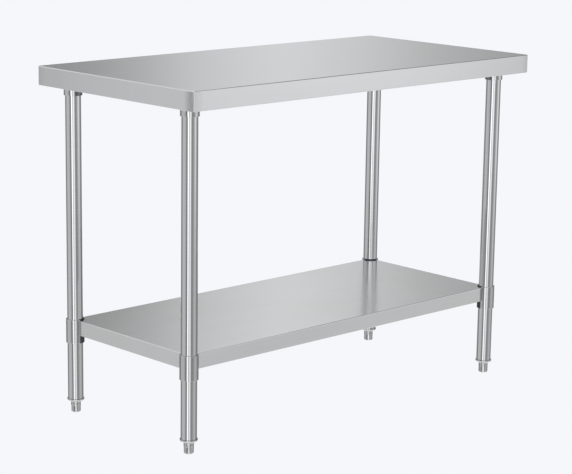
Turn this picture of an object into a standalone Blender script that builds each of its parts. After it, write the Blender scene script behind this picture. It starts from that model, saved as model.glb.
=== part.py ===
"""Commercial stainless work table: folded top, four tube legs, adjustable undershelf, levelling feet.

The long side runs along X and the short side along Y. The origin is on the floor, under the middle
of the top. Each corner is named by its side: front is -Y, back is +Y, left is -X, right is +X.
"""

import math

import bmesh
import bpy
from mathutils import Matrix

# ---------------------------------------------------------------- driving dimensions, in metres

# worktop: one folded stainless pan
TOP_LENGTH = 1.2192
TOP_DEPTH = 0.6096
TABLE_HEIGHT = 0.9144
TOP_SHEET = 0.0012
TOP_APRON = 0.0495
TOP_LIP = 0.0130
TOP_CORNER_RADIUS = 0.0070
TOP_FOLD_RADIUS = 0.0025

# hat channels under the worktop and the undershelf
CHANNEL_SHEET = 0.0015
CHANNEL_DEPTH = 0.0250
CHANNEL_CROWN = 0.0500
CHANNEL_FLANGE = 0.0180
CHANNEL_SLOPE = 0.0030
CHANNEL_END_ROOM = 0.0030
SHELF_CHANNEL_DEPTH = 0.0200
SHELF_CHANNEL_END_ROOM = 0.0550

# weld studs that hold the channels to the worktop, with their nuts
WELD_STUD_DIAMETER = 0.0060
WELD_STUD_LENGTH = 0.0110
NUT_ACROSS_FLATS = 0.0100
NUT_THICKNESS = 0.0050
CROSS_STUD_SPACING = 0.3000
CENTRE_STUD_SPACING = 0.6400

# legs
LEG_DIAMETER = 0.04128
LEG_WALL = 0.0012
LEG_INSET_END = 0.0553
LEG_INSET_SIDE = 0.0758

# sockets that hold the legs' upper ends
SOCKET_PLATE = 0.0030
SOCKET_PLATE_SIDE = 0.0800
SOCKET_PLATE_CORNER = 0.0100
SOCKET_WALL = 0.0029
SOCKET_SHOWING = 0.0222
SOCKET_SCREW_DROP = 0.0110

# undershelf: a shallower folded pan that slides on the legs
SHELF_TOP = 0.2520
SHELF_OVERHANG = 0.0050
SHELF_SHEET = 0.0010
SHELF_APRON = 0.0400
SHELF_LIP = 0.0120
SHELF_FOLD_RADIUS = 0.0020

# collars and clamps at the undershelf's corners
COLLAR_WALL = 0.0029
COLLAR_STANDS_PROUD = 0.0016
COLLAR_HANGS_BELOW = 0.0215
COLLAR_SPLIT = 0.0025
COLLAR_EDGE = 0.0006
CLAMP_STANDS_PROUD = 0.0026
CLAMP_SCREW_DROP = 0.0210

# set screws and the bosses they turn in
SCREW_DIAMETER = 0.0080
SCREW_LENGTH = 0.0120
SCREW_POINT = 0.0010
SCREW_HEX = 0.0040
SCREW_HEX_DEPTH = 0.0050
BOSS_DIAMETER = 0.0160
BOSS_REACH = 0.0110

# foot inserts, pressed into the legs' lower ends
INSERT_LIP_OVERHANG = 0.0021
INSERT_LIP = 0.0018
INSERT_DOME = 0.0065
INSERT_NOSE_RADIUS = 0.0135
INSERT_PLUG = 0.0260
INSERT_PLUG_WALL = 0.0025
INSERT_HUB_WALL = 0.0040
INSERT_FLOOR = 0.0040

# bullet feet and their threaded studs
FOOT_HEIGHT = 0.0297
FOOT_RADIUS = 0.0131
FOOT_SHOULDER_RADIUS = 0.0125
FOOT_SHOULDER = 0.0030
FOOT_ROUND = 0.0045
FOOT_HEX_FLATS = 0.0238
FOOT_HEX_HEIGHT = 0.0165
FOOT_HEX_RUN_OUT = 0.0040
FOOT_STUD_SEAT = 0.0125
STUD_DIAMETER = 0.0160
STUD_LENGTH = 0.0600
STUD_CHAMFER = 0.0012

# clearances
CONTACT_GAP = 0.0003
SLIDING_GAP = 0.0005
SCREW_GAP = 0.00035

# roundness
TUBE_STEPS = 36
COLLAR_STEPS = 24
TURNED_STEPS = 24
SMALL_STEPS = 12
SMOOTH_ANGLE = math.radians(35)

# ---------------------------------------------------------------- sizes that follow from those

LEG_X = TOP_LENGTH / 2 - LEG_INSET_END
LEG_Y = TOP_DEPTH / 2 - LEG_INSET_SIDE
LEG_RADIUS = LEG_DIAMETER / 2
LEG_BORE_RADIUS = LEG_RADIUS - LEG_WALL

CHANNEL_TOP = TABLE_HEIGHT - TOP_SHEET - CONTACT_GAP
CHANNEL_BOTTOM = CHANNEL_TOP - CHANNEL_DEPTH
CHANNEL_HALF_WIDTH = CHANNEL_CROWN / 2 + CHANNEL_FLANGE
CROSS_CHANNEL_LENGTH = TOP_DEPTH - 2 * (TOP_SHEET + CHANNEL_END_ROOM)
CENTRE_CHANNEL_LENGTH = 2 * (LEG_X - CHANNEL_HALF_WIDTH - CHANNEL_END_ROOM)

SOCKET_TOP = CHANNEL_BOTTOM - CONTACT_GAP
SOCKET_FLOOR = SOCKET_TOP - SOCKET_PLATE
SOCKET_BOTTOM = TABLE_HEIGHT - TOP_APRON - SOCKET_SHOWING
SOCKET_BORE_RADIUS = LEG_RADIUS + SLIDING_GAP
SOCKET_RADIUS = SOCKET_BORE_RADIUS + SOCKET_WALL
SOCKET_SCREW_HEIGHT = SOCKET_TOP - SOCKET_PLATE - SOCKET_SCREW_DROP

INSERT_BOTTOM = FOOT_HEIGHT + CONTACT_GAP
INSERT_LIP_BOTTOM = INSERT_BOTTOM + INSERT_DOME
INSERT_LIP_TOP = INSERT_LIP_BOTTOM + INSERT_LIP
LEG_BOTTOM = INSERT_LIP_TOP + CONTACT_GAP
LEG_TOP = SOCKET_FLOOR - CONTACT_GAP

SHELF_LENGTH = 2 * (LEG_X + SHELF_OVERHANG)
SHELF_DEPTH = 2 * (LEG_Y + SHELF_OVERHANG)
SHELF_CHANNEL_LENGTH = 2 * (LEG_X - SHELF_CHANNEL_END_ROOM)
COLLAR_BORE_RADIUS = LEG_RADIUS + SLIDING_GAP
COLLAR_RADIUS = COLLAR_BORE_RADIUS + COLLAR_WALL
COLLAR_TOP = SHELF_TOP + COLLAR_STANDS_PROUD
COLLAR_BOTTOM = SHELF_TOP - SHELF_APRON - COLLAR_HANGS_BELOW
CLAMP_TOP = SHELF_TOP + CLAMP_STANDS_PROUD
CLAMP_SCREW_HEIGHT = SHELF_TOP - CLAMP_SCREW_DROP
SCREW_TIP_RADIUS = LEG_RADIUS + CONTACT_GAP

STUD_RADIUS = STUD_DIAMETER / 2
STUD_BORE_RADIUS = STUD_RADIUS + 2 * CONTACT_GAP

# name, side along X, side along Y, turn that points local +X at the table's middle
CORNERS = (
    ("front_left", -1, -1, math.radians(45)),
    ("front_right", 1, -1, math.radians(135)),
    ("back_right", 1, 1, math.radians(225)),
    ("back_left", -1, 1, math.radians(315)),
)


# ---------------------------------------------------------------- scene, materials, helpers

def clear_scene():
    for obj in list(bpy.data.objects):
        bpy.data.objects.remove(obj, do_unlink=True)


def new_collection(name):
    collection = bpy.data.collections.new(name)
    bpy.context.scene.collection.children.link(collection)
    return collection


def metal(name, colour, roughness):
    material = bpy.data.materials.new(name)
    material.use_nodes = True
    shader = material.node_tree.nodes["Principled BSDF"]
    shader.inputs["Base Color"].default_value = (*colour, 1.0)
    shader.inputs["Roughness"].default_value = roughness
    shader.inputs["Metallic"].default_value = 1.0
    material.diffuse_color = (*colour, 1.0)
    return material


def empty(name, location, parent=None):
    holder = bpy.data.objects.new(name, None)
    holder.empty_display_size = 0.05
    holder.location = location
    holder.parent = parent
    TABLE.objects.link(holder)
    return holder


def place(name, mesh, material, parent, location=(0, 0, 0), turn=0.0):
    """Puts one named piece in the table, its location given in its parent's frame."""
    obj = bpy.data.objects.new(name, mesh)
    TABLE.objects.link(obj)
    if not mesh.materials:
        mesh.materials.append(material)
    obj.parent = parent
    obj.location = location
    obj.rotation_euler = (0, 0, turn)
    return obj


def cutter(name, mesh, location=(0, 0, 0), rotation=(0, 0, 0)):
    """A working shape for a Boolean, kept out of the table."""
    obj = bpy.data.objects.new(name, mesh)
    CUTTERS.objects.link(obj)
    obj.location = location
    obj.rotation_euler = rotation
    obj.hide_render = True
    obj.display_type = "WIRE"
    return obj


def combine(obj, tool, operation):
    modifier = obj.modifiers.new(operation.lower(), "BOOLEAN")
    modifier.operation = operation
    modifier.object = tool
    modifier.solver = "EXACT"


def baked(obj):
    """The object's mesh with its modifiers applied, shaded smooth with sharp folds."""
    bpy.context.view_layer.update()
    graph = bpy.context.evaluated_depsgraph_get()
    mesh = bpy.data.meshes.new_from_object(obj.evaluated_get(graph), depsgraph=graph)
    mesh.name = obj.name
    mesh.materials.clear()
    mesh.shade_smooth()
    mesh.set_sharp_from_angle(angle=SMOOTH_ANGLE)
    return mesh


def mesh_from(bm, name):
    mesh = bpy.data.meshes.new(name)
    bm.to_mesh(mesh)
    bm.free()
    return mesh


# ---------------------------------------------------------------- basic shapes

def box_mesh(name, size_x, size_y, size_z, corner_radius=0.0):
    """A box centred on the origin, with its four upright edges rounded."""
    bm = bmesh.new()
    bmesh.ops.create_cube(bm, size=1.0, matrix=Matrix.Diagonal((size_x, size_y, size_z, 1.0)))
    if corner_radius:
        upright = [e for e in bm.edges if is_upright(e)]
        bmesh.ops.bevel(bm, geom=upright, offset=corner_radius, segments=3, profile=0.5,
                        affect="EDGES")
    return mesh_from(bm, name)


def is_upright(edge):
    low, high = (v.co for v in edge.verts)
    return abs(high.z - low.z) > 0.9 * edge.calc_length()


def cylinder_mesh(name, radius, height, steps):
    """A cylinder along Z, centred on the origin."""
    bm = bmesh.new()
    bmesh.ops.create_cone(bm, cap_ends=True, segments=steps, radius1=radius, radius2=radius,
                          depth=height)
    return mesh_from(bm, name)


def turned_mesh(name, profile, steps, closed=False):
    """A profile of (radius, height) points turned about Z; it runs down its outer side."""
    mesh = bpy.data.meshes.new(name)
    edges = [(i, i + 1) for i in range(len(profile) - 1)]
    if closed:
        edges.append((len(profile) - 1, 0))
    mesh.from_pydata([(radius, 0.0, height) for radius, height in profile], edges, [])
    obj = cutter(name, mesh)
    turn = obj.modifiers.new("turn", "SCREW")
    turn.axis = "Z"
    turn.angle = 2 * math.pi
    turn.steps = steps
    turn.render_steps = steps
    turn.use_merge_vertices = True
    turn.merge_threshold = 0.00001
    result = baked(obj)
    bpy.data.objects.remove(obj, do_unlink=True)
    return result


def tube_mesh(name, outer_radius, inner_radius, bottom, top, steps):
    profile = ((outer_radius, top), (outer_radius, bottom), (inner_radius, bottom), (inner_radius, top))
    return turned_mesh(name, profile, steps, closed=True)


def arc_mesh(name, profile, start_angle, sweep, steps):
    """A closed profile of (radius, height) points swept part of the way round Z, with flat ends."""
    bm = bmesh.new()
    verts = [bm.verts.new((r * math.cos(start_angle), r * math.sin(start_angle), z)) for r, z in profile]
    face = bm.faces.new(verts)
    bmesh.ops.spin(bm, geom=[face, *face.edges, *face.verts], cent=(0, 0, 0), axis=(0, 0, 1),
                   angle=sweep, steps=steps, use_duplicate=False)
    bmesh.ops.recalc_face_normals(bm, faces=bm.faces)
    return mesh_from(bm, name)


# ---------------------------------------------------------------- folded sheet

def pan_object(name, length, depth, height, sheet, lip, fold_radius, corner_radius):
    """A folded pan, open below: top face at z = 0, turned-down sides and a lip turned in."""
    bm = bmesh.new()
    lowered = Matrix.Translation((0, 0, -height / 2)) @ Matrix.Diagonal((length, depth, height, 1.0))
    bmesh.ops.create_cube(bm, size=1.0, matrix=lowered)
    if corner_radius:
        upright = [e for e in bm.edges if is_upright(e)]
        bmesh.ops.bevel(bm, geom=upright, offset=corner_radius, segments=5, profile=0.5, affect="EDGES")
    underside = [f for f in bm.faces if f.normal.z < -0.9]
    bmesh.ops.delete(bm, geom=underside, context="FACES_ONLY")
    top_rim = [e for e in bm.edges if all(v.co.z > -height / 2 for v in e.verts)]
    bmesh.ops.bevel(bm, geom=top_rim, offset=fold_radius, segments=3, profile=0.5, affect="EDGES")
    open_rim = [e for e in bm.edges if e.is_boundary]
    turned_in = bmesh.ops.extrude_edge_only(bm, edges=open_rim)
    for vert in (g for g in turned_in["geom"] if isinstance(g, bmesh.types.BMVert)):
        vert.co.x = max(-length / 2 + lip, min(length / 2 - lip, vert.co.x))
        vert.co.y = max(-depth / 2 + lip, min(depth / 2 - lip, vert.co.y))
    bmesh.ops.remove_doubles(bm, verts=bm.verts, dist=0.00001)
    bmesh.ops.recalc_face_normals(bm, faces=bm.faces)
    face_out(bm)
    obj = cutter(name, mesh_from(bm, name))
    thicken(obj, sheet)
    return obj


def face_out(bm):
    """Turns an open sheet over if its top face points down."""
    bm.faces.ensure_lookup_table()
    top = max(bm.faces, key=lambda f: f.calc_center_median().z)
    if top.normal.z < 0:
        bmesh.ops.reverse_faces(bm, faces=bm.faces)


def thicken(obj, sheet):
    """Adds the sheet's thickness on the inner side of the open surface."""
    solidify = obj.modifiers.new("sheet", "SOLIDIFY")
    solidify.thickness = sheet
    solidify.offset = -1
    solidify.use_even_offset = True


def hat_channel_object(name, length, depth, along_y):
    """A hat channel with its flanges' upper faces at z = 0 and its crown downwards."""
    half_crown = CHANNEL_CROWN / 2
    half_shoulder = half_crown + CHANNEL_SLOPE
    outline = (
        (-CHANNEL_HALF_WIDTH, 0.0),
        (-half_shoulder, 0.0),
        (-half_crown, -depth + CHANNEL_SHEET),
        (half_crown, -depth + CHANNEL_SHEET),
        (half_shoulder, 0.0),
        (CHANNEL_HALF_WIDTH, 0.0),
    )
    bm = bmesh.new()
    verts = [bm.verts.new((-length / 2, across, height)) for across, height in outline]
    edges = [bm.edges.new(pair) for pair in zip(verts, verts[1:])]
    swept = bmesh.ops.extrude_edge_only(bm, edges=edges)
    moved = [g for g in swept["geom"] if isinstance(g, bmesh.types.BMVert)]
    bmesh.ops.translate(bm, verts=moved, vec=(length, 0, 0))
    if along_y:
        bmesh.ops.rotate(bm, verts=bm.verts, cent=(0, 0, 0), matrix=Matrix.Rotation(math.pi / 2, 3, "Z"))
    face_out(bm)
    obj = cutter(name, mesh_from(bm, name))
    thicken(obj, CHANNEL_SHEET)
    return obj


# ---------------------------------------------------------------- the pieces

def make_worktop():
    pan = pan_object("worktop_pan", TOP_LENGTH, TOP_DEPTH, TOP_APRON, TOP_SHEET, TOP_LIP,
                     TOP_FOLD_RADIUS, TOP_CORNER_RADIUS)
    place("worktop", baked(pan), STAINLESS, FRAME, (0, 0, TABLE_HEIGHT))


def make_channels():
    """Two cross channels over the legs and one centre channel, with weld studs through their flanges."""
    flange_centre = (CHANNEL_CROWN / 2 + CHANNEL_SLOPE + CHANNEL_HALF_WIDTH) / 2
    hole_radius = WELD_STUD_DIAMETER / 2 + 2 * CONTACT_GAP
    hole = cylinder_mesh("stud_hole", hole_radius, 4 * CHANNEL_SHEET, SMALL_STEPS)
    cross = hat_channel_object("cross_channel", CROSS_CHANNEL_LENGTH, CHANNEL_DEPTH, along_y=True)
    for side in (-1, 1):
        combine(cross, cutter("cross_hole", hole, (flange_centre, side * CROSS_STUD_SPACING / 2, 0)),
                "DIFFERENCE")
    cross_mesh = baked(cross)
    centre = hat_channel_object("centre_channel_blank", CENTRE_CHANNEL_LENGTH, CHANNEL_DEPTH, along_y=False)
    for side in (-1, 1):
        combine(centre, cutter("centre_hole", hole, (side * CENTRE_STUD_SPACING / 2, -flange_centre, 0)),
                "DIFFERENCE")
    place("cross_channel_left", cross_mesh, GALVANISED, FRAME, (-LEG_X, 0, CHANNEL_TOP))
    place("cross_channel_right", cross_mesh, GALVANISED, FRAME, (LEG_X, 0, CHANNEL_TOP), math.pi)
    place("centre_channel", baked(centre), GALVANISED, FRAME, (0, 0, CHANNEL_TOP))

    inner_flange = LEG_X - flange_centre
    half_cross = CROSS_STUD_SPACING / 2
    spots = {
        "cross_left_front": (-inner_flange, -half_cross),
        "cross_left_back": (-inner_flange, half_cross),
        "cross_right_front": (inner_flange, -half_cross),
        "cross_right_back": (inner_flange, half_cross),
        "centre_left": (-CENTRE_STUD_SPACING / 2, -flange_centre),
        "centre_right": (CENTRE_STUD_SPACING / 2, -flange_centre),
    }
    stud = cylinder_mesh("weld_stud", WELD_STUD_DIAMETER / 2, WELD_STUD_LENGTH, SMALL_STEPS)
    nut = nut_mesh()
    stud_height = CHANNEL_TOP - WELD_STUD_LENGTH / 2
    nut_height = CHANNEL_TOP - CHANNEL_SHEET - CONTACT_GAP - NUT_THICKNESS / 2
    for spot, (x, y) in spots.items():
        place(f"weld_stud_{spot}", stud, STEEL, FRAME, (x, y, stud_height))
        place(f"nut_{spot}", nut, STEEL, FRAME, (x, y, nut_height))


def nut_mesh():
    corner_radius = NUT_ACROSS_FLATS / 2 / math.cos(math.radians(30))
    nut = cutter("nut", cylinder_mesh("nut", corner_radius, NUT_THICKNESS, 6))
    bore_radius = WELD_STUD_DIAMETER / 2 + CONTACT_GAP
    bore = cylinder_mesh("nut_bore", bore_radius, 2 * NUT_THICKNESS, SMALL_STEPS)
    combine(nut, cutter("nut_bore", bore), "DIFFERENCE")
    return baked(nut)


def boss_and_hole(obj, height, root_radius):
    """Adds a set screw's boss on the piece's local +X side, and the hole through it."""
    reach = COLLAR_BORE_RADIUS + BOSS_REACH
    lying = (0, math.pi / 2, 0)
    boss = cylinder_mesh("boss", BOSS_DIAMETER / 2, reach - root_radius, SMALL_STEPS)
    combine(obj, cutter("boss", boss, ((reach + root_radius) / 2, 0, height), lying), "UNION")
    hole = cylinder_mesh("screw_hole", SCREW_DIAMETER / 2 + SCREW_GAP, reach, SMALL_STEPS)
    combine(obj, cutter("screw_hole", hole, (LEG_RADIUS / 2 + reach / 2, 0, height), lying), "DIFFERENCE")


def make_sockets():
    """A plate under the cross channel with a short tube that the leg's upper end slides into."""
    profile = (
        (0.0, SOCKET_TOP - CONTACT_GAP),
        (SOCKET_RADIUS, SOCKET_TOP - CONTACT_GAP),
        (SOCKET_RADIUS, SOCKET_BOTTOM),
        (SOCKET_BORE_RADIUS, SOCKET_BOTTOM),
        (SOCKET_BORE_RADIUS, SOCKET_FLOOR),
        (0.0, SOCKET_FLOOR),
    )
    cup = cutter("socket_cup", turned_mesh("socket_cup", profile, TUBE_STEPS))
    plate = box_mesh("socket_plate", SOCKET_PLATE_SIDE, SOCKET_PLATE_SIDE, SOCKET_PLATE, SOCKET_PLATE_CORNER)
    combine(cup, cutter("socket_plate", plate, (0, 0, SOCKET_TOP - SOCKET_PLATE / 2)), "UNION")
    boss_and_hole(cup, SOCKET_SCREW_HEIGHT, SOCKET_BORE_RADIUS + SOCKET_WALL / 2)
    mesh = baked(cup)
    for corner, side_x, side_y, _ in CORNERS:
        turn = 0.0 if side_x < 0 else math.pi
        place(f"leg_socket_{corner}", mesh, GALVANISED, FRAME, (side_x * LEG_X, side_y * LEG_Y, 0), turn)


def make_legs():
    mesh = tube_mesh("leg", LEG_RADIUS, LEG_BORE_RADIUS, LEG_BOTTOM, LEG_TOP, TUBE_STEPS)
    for corner, side_x, side_y, _ in CORNERS:
        place(f"leg_{corner}", mesh, STAINLESS, FRAME, (side_x * LEG_X, side_y * LEG_Y, 0))


def make_undershelf():
    pan = pan_object("undershelf_pan", SHELF_LENGTH, SHELF_DEPTH, SHELF_APRON, SHELF_SHEET, SHELF_LIP,
                     SHELF_FOLD_RADIUS, 0.0)
    notch = cylinder_mesh("leg_notch", COLLAR_RADIUS + CONTACT_GAP, 3 * SHELF_APRON, TUBE_STEPS)
    for _, side_x, side_y, _ in CORNERS:
        combine(pan, cutter("leg_notch", notch, (side_x * LEG_X, side_y * LEG_Y, 0)), "DIFFERENCE")
    place("undershelf", baked(pan), STAINLESS, SHELF, (0, 0, 0))
    channel = hat_channel_object("shelf_channel_blank", SHELF_CHANNEL_LENGTH, SHELF_CHANNEL_DEPTH,
                                 along_y=False)
    place("undershelf_channel", baked(channel), GALVANISED, SHELF, (0, 0, -SHELF_SHEET - CONTACT_GAP))


def ring_profile(bottom, top):
    """A collar's wall: the outer rims are chamfered."""
    return (
        (COLLAR_BORE_RADIUS, top),
        (COLLAR_RADIUS - COLLAR_EDGE, top),
        (COLLAR_RADIUS, top - COLLAR_EDGE),
        (COLLAR_RADIUS, bottom + COLLAR_EDGE),
        (COLLAR_RADIUS - COLLAR_EDGE, bottom),
        (COLLAR_BORE_RADIUS, bottom),
    )


def make_collars():
    """At each corner an outer sleeve and an inner clamp close round the leg; heights are the shelf's."""
    split_angle = math.radians(45) + math.asin(COLLAR_SPLIT / COLLAR_RADIUS)
    split_gap = CONTACT_GAP / COLLAR_BORE_RADIUS
    outer_sweep = 2 * math.pi - 2 * split_angle
    sleeve = arc_mesh("shelf_collar", ring_profile(COLLAR_BOTTOM - SHELF_TOP, COLLAR_TOP - SHELF_TOP),
                      split_angle, outer_sweep, COLLAR_STEPS)
    sleeve = baked(cutter("shelf_collar", sleeve))
    inner_sweep = 2 * (split_angle - split_gap)
    sector = arc_mesh("shelf_clamp", ring_profile(COLLAR_BOTTOM - SHELF_TOP, CLAMP_TOP - SHELF_TOP),
                      -split_angle + split_gap, inner_sweep, SMALL_STEPS)
    clamp = cutter("shelf_clamp", sector)
    boss_and_hole(clamp, CLAMP_SCREW_HEIGHT - SHELF_TOP, COLLAR_BORE_RADIUS + COLLAR_WALL / 2)
    clamp = baked(clamp)
    for corner, side_x, side_y, inward in CORNERS:
        spot = (side_x * LEG_X, side_y * LEG_Y, 0)
        place(f"shelf_collar_{corner}", sleeve, STAINLESS, SHELF, spot, inward)
        place(f"shelf_clamp_{corner}", clamp, CAST, SHELF, spot, inward)


def set_screw_mesh():
    """A cup-point set screw along local +X, its point at the origin and a hex socket in its far end."""
    radius = SCREW_DIAMETER / 2
    profile = (
        (0.0, SCREW_LENGTH),
        (radius - SCREW_POINT / 2, SCREW_LENGTH),
        (radius, SCREW_LENGTH - SCREW_POINT / 2),
        (radius, SCREW_POINT),
        (radius - SCREW_POINT, 0.0),
        (0.0, 0.0),
    )
    screw = cutter("set_screw", turned_mesh("set_screw", profile, SMALL_STEPS))
    hex_radius = SCREW_HEX / 2 / math.cos(math.radians(30))
    key = cylinder_mesh("hex_key", hex_radius, 2 * SCREW_HEX_DEPTH, 6)
    combine(screw, cutter("hex_key", key, (0, 0, SCREW_LENGTH)), "DIFFERENCE")
    mesh = baked(screw)
    mesh.transform(Matrix.Rotation(math.pi / 2, 4, "Y"))
    return mesh


def make_set_screws():
    mesh = set_screw_mesh()
    for corner, side_x, side_y, inward in CORNERS:
        socket_turn = 0.0 if side_x < 0 else math.pi
        place(f"socket_screw_{corner}", mesh, STEEL, FRAME,
              screw_spot(side_x, side_y, socket_turn, SOCKET_SCREW_HEIGHT), socket_turn)
        place(f"shelf_screw_{corner}", mesh, STEEL, SHELF,
              screw_spot(side_x, side_y, inward, CLAMP_SCREW_HEIGHT - SHELF_TOP), inward)


def screw_spot(side_x, side_y, turn, height):
    """Where a screw's point stands: just off the leg, on the side that the turn faces."""
    x = side_x * LEG_X + SCREW_TIP_RADIUS * math.cos(turn)
    y = side_y * LEG_Y + SCREW_TIP_RADIUS * math.sin(turn)
    return (x, y, height)


def make_foot_inserts():
    """A plug in the leg's end with a lip, a domed underside and a threaded hub."""
    plug_radius = LEG_BORE_RADIUS - CONTACT_GAP
    lip_radius = LEG_RADIUS + INSERT_LIP_OVERHANG
    plug_top = LEG_BOTTOM + INSERT_PLUG
    pocket_floor = INSERT_LIP_TOP + INSERT_FLOOR
    pocket_outer = plug_radius - INSERT_PLUG_WALL
    pocket_inner = STUD_BORE_RADIUS + INSERT_HUB_WALL
    dome = []
    dome_steps = 4
    for i in range(dome_steps + 1):
        angle = math.pi / 2 * i / dome_steps
        radius = INSERT_NOSE_RADIUS + (lip_radius - INSERT_NOSE_RADIUS) * math.cos(angle)
        dome.append((radius, INSERT_LIP_BOTTOM - INSERT_DOME * math.sin(angle)))
    profile = (
        (pocket_outer, plug_top),
        (plug_radius, plug_top),
        (plug_radius, INSERT_LIP_TOP),
        (lip_radius, INSERT_LIP_TOP),
        *dome,
        (STUD_BORE_RADIUS, INSERT_BOTTOM),
        (STUD_BORE_RADIUS, plug_top),
        (pocket_inner, plug_top),
        (pocket_inner, pocket_floor),
        (pocket_outer, pocket_floor),
    )
    mesh = turned_mesh("foot_insert", profile, TURNED_STEPS, closed=True)
    for corner, side_x, side_y, _ in CORNERS:
        place(f"foot_insert_{corner}", mesh, STEEL, FRAME, (side_x * LEG_X, side_y * LEG_Y, 0))


def foot_stud_mesh():
    bottom = FOOT_STUD_SEAT
    top = bottom + STUD_LENGTH
    profile = (
        (0.0, top),
        (STUD_RADIUS - STUD_CHAMFER, top),
        (STUD_RADIUS, top - STUD_CHAMFER),
        (STUD_RADIUS, bottom),
        (0.0, bottom),
    )
    return turned_mesh("foot_stud", profile, TURNED_STEPS)


def foot_mesh():
    """A round bullet foot whose lower part is cut to a hexagon for a wrench, with a seat for its stud."""
    rounded = []
    round_steps = 4
    for i in range(round_steps + 1):
        angle = math.pi / 2 * i / round_steps
        rounded.append((FOOT_RADIUS - FOOT_ROUND * (1 - math.cos(angle)), FOOT_ROUND * (1 - math.sin(angle))))
    seat = FOOT_STUD_SEAT - CONTACT_GAP
    profile = (
        (0.0, seat),
        (STUD_BORE_RADIUS, seat),
        (STUD_BORE_RADIUS, FOOT_HEIGHT),
        (FOOT_SHOULDER_RADIUS, FOOT_HEIGHT),
        (FOOT_RADIUS, FOOT_HEIGHT - FOOT_SHOULDER),
        *rounded,
        (0.0, 0.0),
    )
    foot = cutter("foot", turned_mesh("foot", profile, TURNED_STEPS))
    hex_radius = FOOT_HEX_FLATS / 2 / math.cos(math.radians(30))
    wide = 2 * FOOT_RADIUS
    hexagon = (
        (0.0, 2 * FOOT_HEIGHT),
        (wide, 2 * FOOT_HEIGHT),
        (wide, FOOT_HEX_HEIGHT + FOOT_HEX_RUN_OUT * (wide - hex_radius) / (FOOT_RADIUS - FOOT_HEX_FLATS / 2)),
        (hex_radius, FOOT_HEX_HEIGHT),
        (hex_radius, -FOOT_HEIGHT),
        (0.0, -FOOT_HEIGHT),
    )
    combine(foot, cutter("foot_hexagon", turned_mesh("foot_hexagon", hexagon, 6)), "INTERSECT")
    return baked(foot)


def make_feet():
    stud = foot_stud_mesh()
    foot = foot_mesh()
    for corner, side_x, side_y, _ in CORNERS:
        axis = empty(f"foot_axis_{corner}", (side_x * LEG_X, side_y * LEG_Y, 0), FRAME)
        place(f"foot_stud_{corner}", stud, STEEL, axis)
        place(f"foot_{corner}", foot, STEEL, axis)


# ---------------------------------------------------------------- build

clear_scene()
TABLE = new_collection("work_table")
CUTTERS = new_collection("cutters")

STAINLESS = metal("brushed_stainless", (0.62, 0.62, 0.61), 0.30)
GALVANISED = metal("galvanised_steel", (0.52, 0.53, 0.54), 0.45)
STEEL = metal("plated_steel", (0.55, 0.55, 0.55), 0.28)
CAST = metal("dark_cast_zinc", (0.10, 0.10, 0.105), 0.50)

FRAME = empty("table_frame", (0, 0, 0))
SHELF = empty("undershelf_slide", (0, 0, SHELF_TOP), FRAME)

make_worktop()
make_channels()
make_sockets()
make_legs()
make_foot_inserts()
make_undershelf()
make_collars()
make_set_screws()
make_feet()
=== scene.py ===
"""The stainless work table as a finished visual model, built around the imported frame.

Every piece is made here in mesh code, stands for one node of the frame and rides on that node's
body. Places and overall sizes come from the frame's boxes; the sizes that a box doesn't tell are
named below. Lengths are in metres, with +Z up, and the front of the table is at -Y.
"""

import math

import bmesh
import bpy
from mathutils import Matrix, Vector


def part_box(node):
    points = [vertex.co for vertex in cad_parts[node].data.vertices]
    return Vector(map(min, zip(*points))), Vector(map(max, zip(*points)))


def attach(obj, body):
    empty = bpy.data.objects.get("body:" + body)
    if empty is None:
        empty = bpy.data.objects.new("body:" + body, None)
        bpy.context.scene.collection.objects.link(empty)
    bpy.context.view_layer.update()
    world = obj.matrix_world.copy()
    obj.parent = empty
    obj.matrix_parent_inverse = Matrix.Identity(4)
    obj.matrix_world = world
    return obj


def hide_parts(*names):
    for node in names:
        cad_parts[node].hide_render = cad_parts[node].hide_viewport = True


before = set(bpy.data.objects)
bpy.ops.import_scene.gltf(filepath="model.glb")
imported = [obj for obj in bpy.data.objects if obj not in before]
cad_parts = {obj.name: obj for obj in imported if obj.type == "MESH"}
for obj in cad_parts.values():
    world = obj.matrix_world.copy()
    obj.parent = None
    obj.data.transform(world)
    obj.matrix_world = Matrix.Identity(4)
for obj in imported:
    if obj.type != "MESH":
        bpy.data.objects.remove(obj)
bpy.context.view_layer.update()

MM = 0.001

# ---------------------------------------------------------------- sizes that the boxes don't tell

TOP_SHEET = 1.2 * MM
TOP_LIP = 13.0 * MM
TOP_FOLD = 2.5 * MM
TOP_CORNER = 7.0 * MM
SHELF_SHEET = 1.0 * MM
SHELF_LIP = 12.0 * MM
SHELF_FOLD = 2.0 * MM
LOWER_FOLD = 1.6 * MM
SEAM_WIDTH = 1.1 * MM
SEAM_DEPTH = 0.4 * MM

# the ground patch at each welded corner: how far it reaches, and its look; its colour is painted shade on the
# end side and a painted highlight on the long side
GRIND_REACH = 36.0 * MM
GRIND_CORE = 2.0 * MM
GRIND_RAGGED = 5.0 * MM
GRIND_TOP = 1.2 * MM
GRIND_END_SIDE_PAINTED_SHADE = 0.66
GRIND_LONG_SIDE_PAINTED_HIGHLIGHT = 1.08
GRIND_ROUGHNESS = 0.60
GRIND_AT_BACK = 0.25
SEAM_SHADE = 0.35

# the sockets' inward half, painted darker as shade: where the painted shade starts and is full, as
# outwardness, and its roughness
INWARD_SHADE_FROM = -0.25
INWARD_SHADE_FULL = -0.60
INWARD_ROUGHNESS = 0.30

CHANNEL_SHEET = 1.5 * MM
CHANNEL_CROWN = 50.0 * MM
CHANNEL_SLOPE = 3.0 * MM
CHANNEL_BEND = 2.0 * MM

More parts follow.
